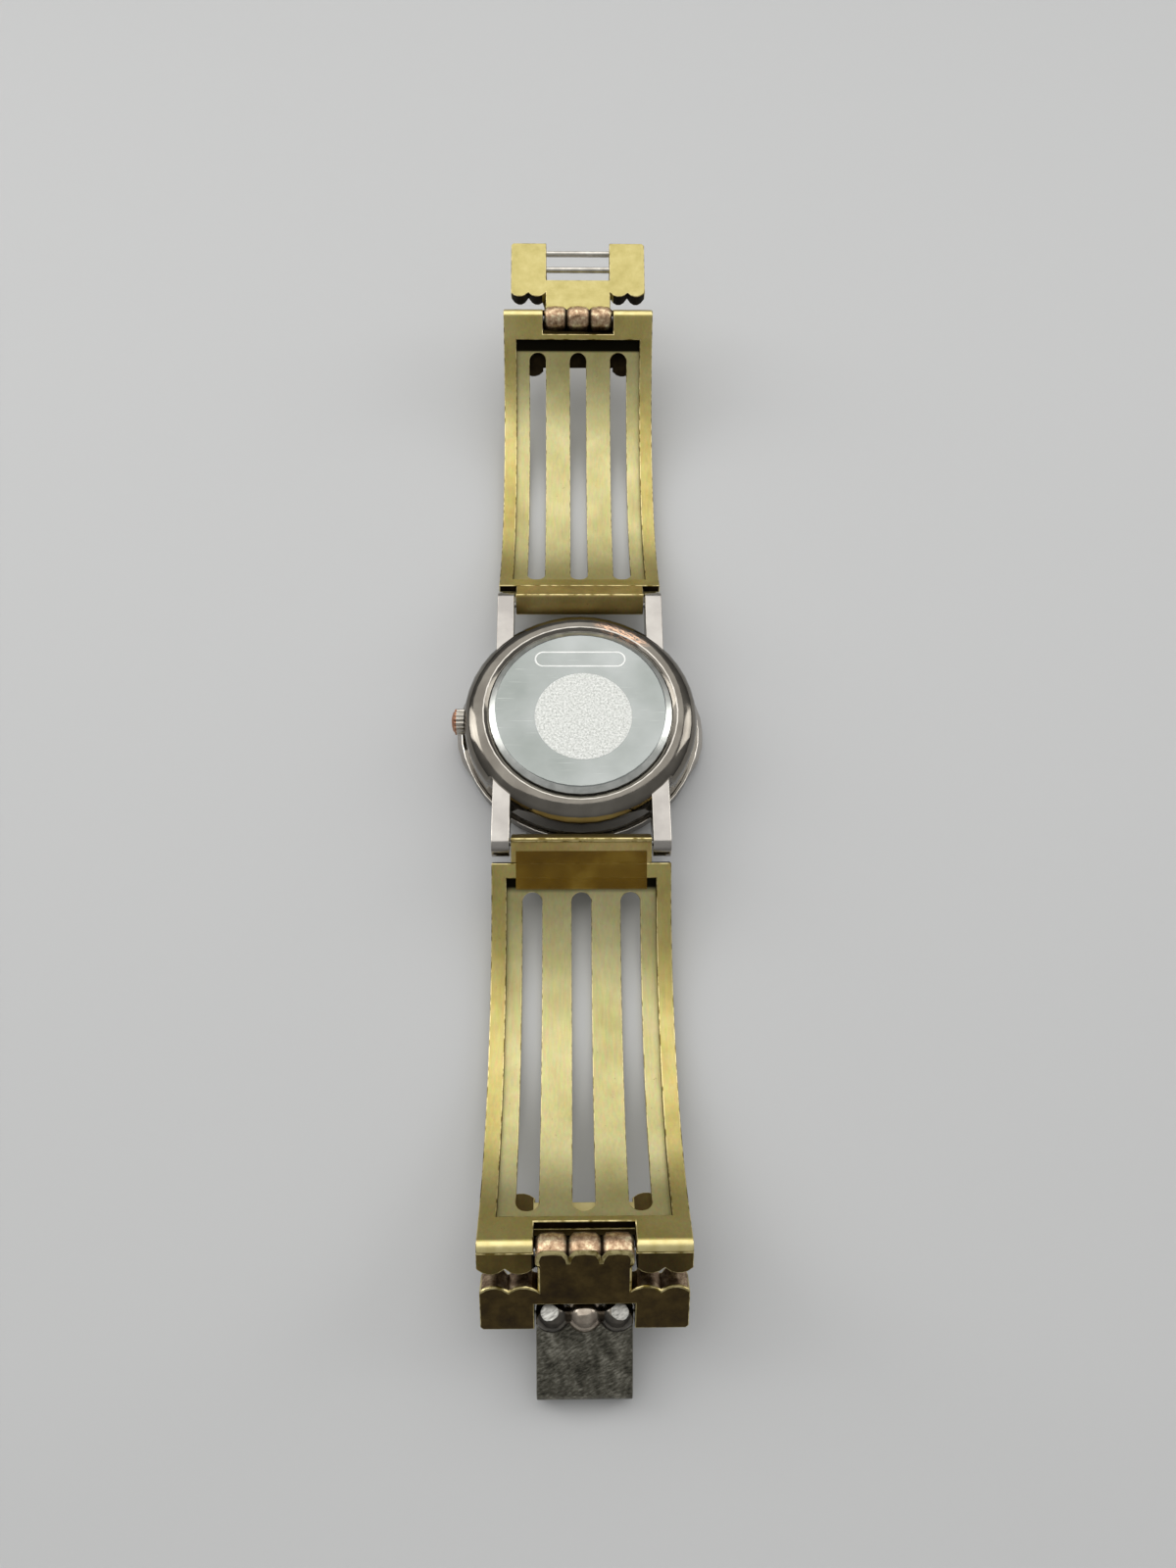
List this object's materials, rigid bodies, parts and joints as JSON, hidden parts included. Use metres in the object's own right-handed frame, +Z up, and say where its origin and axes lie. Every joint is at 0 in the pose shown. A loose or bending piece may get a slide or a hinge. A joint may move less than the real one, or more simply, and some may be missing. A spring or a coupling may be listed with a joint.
{
  "type": "wristwatch",
  "caption": "Round wristwatch lying face down on an open slotted metal bracelet: snap back up, crown at the side, hinged panels, ribbed end links and a hook clasp.",
  "frame": {"origin": "Centre of the crystal's outer face, which lies on the ground.", "axes": "+Z up, from the crystal towards the case back; +Y along the bracelet towards 12 o'clock, the catch end; +X away from the crown, the right-hand side in the picture."},
  "size_m": [0.0374, 0.175, 0.0169],
  "materials": {
    "brass_frame": "aged satin, olive gold",
    "brass_grille": "aged satin, olive gold, duller than the frame",
    "brass_patina": "worn, brown patina with bright edges",
    "case_steel": "dark polished, worn to copper in spots",
    "back_steel": "polished with a frosted centre",
    "hook_steel": "dark, file-marked",
    "pin_steel": "bright",
    "crown_steel": "polished",
    "crown_brass": "worn, copper-coloured",
    "crystal_glass": "clear",
    "gasket_rubber": "matt",
    "dial_paint": "satin cream",
    "hand_metal": "polished",
    "movement_brass": "plain",
    "movement_plastic": "matt white",
    "cell_steel": "plain",
    "coil_copper": "copper wire"
  },
  "bodies": {
    "head": {"mid_case": "case_steel", "bezel": "case_steel", "crystal": "crystal_glass", "crystal_gasket": "gasket_rubber", "dial": "dial_paint", "movement_plate": "movement_brass", "movement_ring": "movement_plastic", "battery": "cell_steel", "battery_clamp": "cell_steel", "clamp_screw": "cell_steel", "coil": "coil_copper", "crown_tube": "crown_steel", "case_back_gasket": "gasket_rubber", "case_back": "back_steel", "upper_spring_bar": "pin_steel", "lower_spring_bar": "pin_steel"},
    "upper_panel": {"upper_frame": "brass_frame", "upper_grille": "brass_grille", "upper_lug_bar": "brass_patina", "upper_end_block": "brass_patina", "upper_hinge_pin": "pin_steel"},
    "lower_panel": {"lower_frame": "brass_frame", "lower_grille": "brass_grille", "lower_lug_bar": "brass_patina", "lower_end_block": "brass_patina", "lower_hinge_pin": "pin_steel"},
    "catch_link": {"catch_link": "brass_patina", "catch_pin_inner": "pin_steel", "catch_pin_outer": "pin_steel"},
    "hook_link": {"hook_link": "brass_patina", "hook_pin": "pin_steel"},
    "hook": {"hook": "hook_steel"},
    "setting_lever": {"setting_lever": "crown_steel"},
    "crown": {"crown": "crown_steel", "crown_cap": "crown_brass", "stem": "crown_steel"},
    "hour_hand": {"hour_hand": "hand_metal"},
    "minute_hand": {"minute_hand": "hand_metal"},
    "second_hand": {"second_hand": "hand_metal"},
    "upper_tip_left": {"upper_bar_tip_left": "pin_steel"},
    "upper_tip_right": {"upper_bar_tip_right": "pin_steel"},
    "lower_tip_left": {"lower_bar_tip_left": "pin_steel"},
    "lower_tip_right": {"lower_bar_tip_right": "pin_steel"}
  },
  "joints": [
    {"name": "upper_panel_hinge", "type": "hinge", "parent": "head", "child": "upper_panel", "pos_m": [0, 0.0197, 0.00677], "axis": [1, 0, 0], "range_deg": [-40, 80]},
    {"name": "lower_panel_hinge", "type": "hinge", "parent": "head", "child": "lower_panel", "pos_m": [0, -0.0197, 0.00677], "axis": [-1, 0, 0], "range_deg": [-40, 80]},
    {"name": "catch_link_hinge", "type": "hinge", "parent": "upper_panel", "child": "catch_link", "pos_m": [0, 0.07261, 0.01305], "axis": [1, 0, 0], "range_deg": [-55, 60]},
    {"name": "hook_link_hinge", "type": "hinge", "parent": "lower_panel", "child": "hook_link", "pos_m": [0, -0.07261, 0.01305], "axis": [-1, 0, 0], "range_deg": [-15, 110]},
    {"name": "hook_hinge", "type": "hinge", "parent": "hook_link", "child": "hook", "pos_m": [0, -0.07926, 0.00711], "axis": [-1, 0, 0], "range_deg": [-70, 80]},
    {"name": "crown_pull", "type": "slide", "parent": "head", "child": "setting_lever", "axis": [-1, 0, 0], "range_m": [0, 0.001]},
    {"name": "crown_turn", "type": "hinge", "parent": "setting_lever", "child": "crown", "pos_m": [-0.0083, 0, 0.00565], "axis": [1, 0, 0], "continuous": true},
    {"name": "minute_turn", "type": "hinge", "parent": "head", "child": "minute_hand", "pos_m": [0, 0, 0.00225], "axis": [0, 0, 1], "continuous": true},
    {"name": "hour_turn", "type": "hinge", "parent": "head", "child": "hour_hand", "pos_m": [0, 0, 0.0027], "axis": [0, 0, 1], "continuous": true},
    {"name": "second_turn", "type": "hinge", "parent": "head", "child": "second_hand", "pos_m": [0, 0, 0.0018], "axis": [0, 0, 1], "continuous": true},
    {"name": "upper_tip_left", "type": "slide", "parent": "head", "child": "upper_tip_left", "axis": [1, 0, 0], "range_m": [0, 0.001], "stiffness_N_per_m": 50},
    {"name": "upper_tip_right", "type": "slide", "parent": "head", "child": "upper_tip_right", "axis": [-1, 0, 0], "range_m": [0, 0.001], "stiffness_N_per_m": 50},
    {"name": "lower_tip_left", "type": "slide", "parent": "head", "child": "lower_tip_left", "axis": [1, 0, 0], "range_m": [0, 0.001], "stiffness_N_per_m": 50},
    {"name": "lower_tip_right", "type": "slide", "parent": "head", "child": "lower_tip_right", "axis": [-1, 0, 0], "range_m": [0, 0.001], "stiffness_N_per_m": 50}
  ],
  "couplings": [
    {"joint": "hour_turn", "follows": "minute_turn", "ratio": 0.083333}
  ]
}
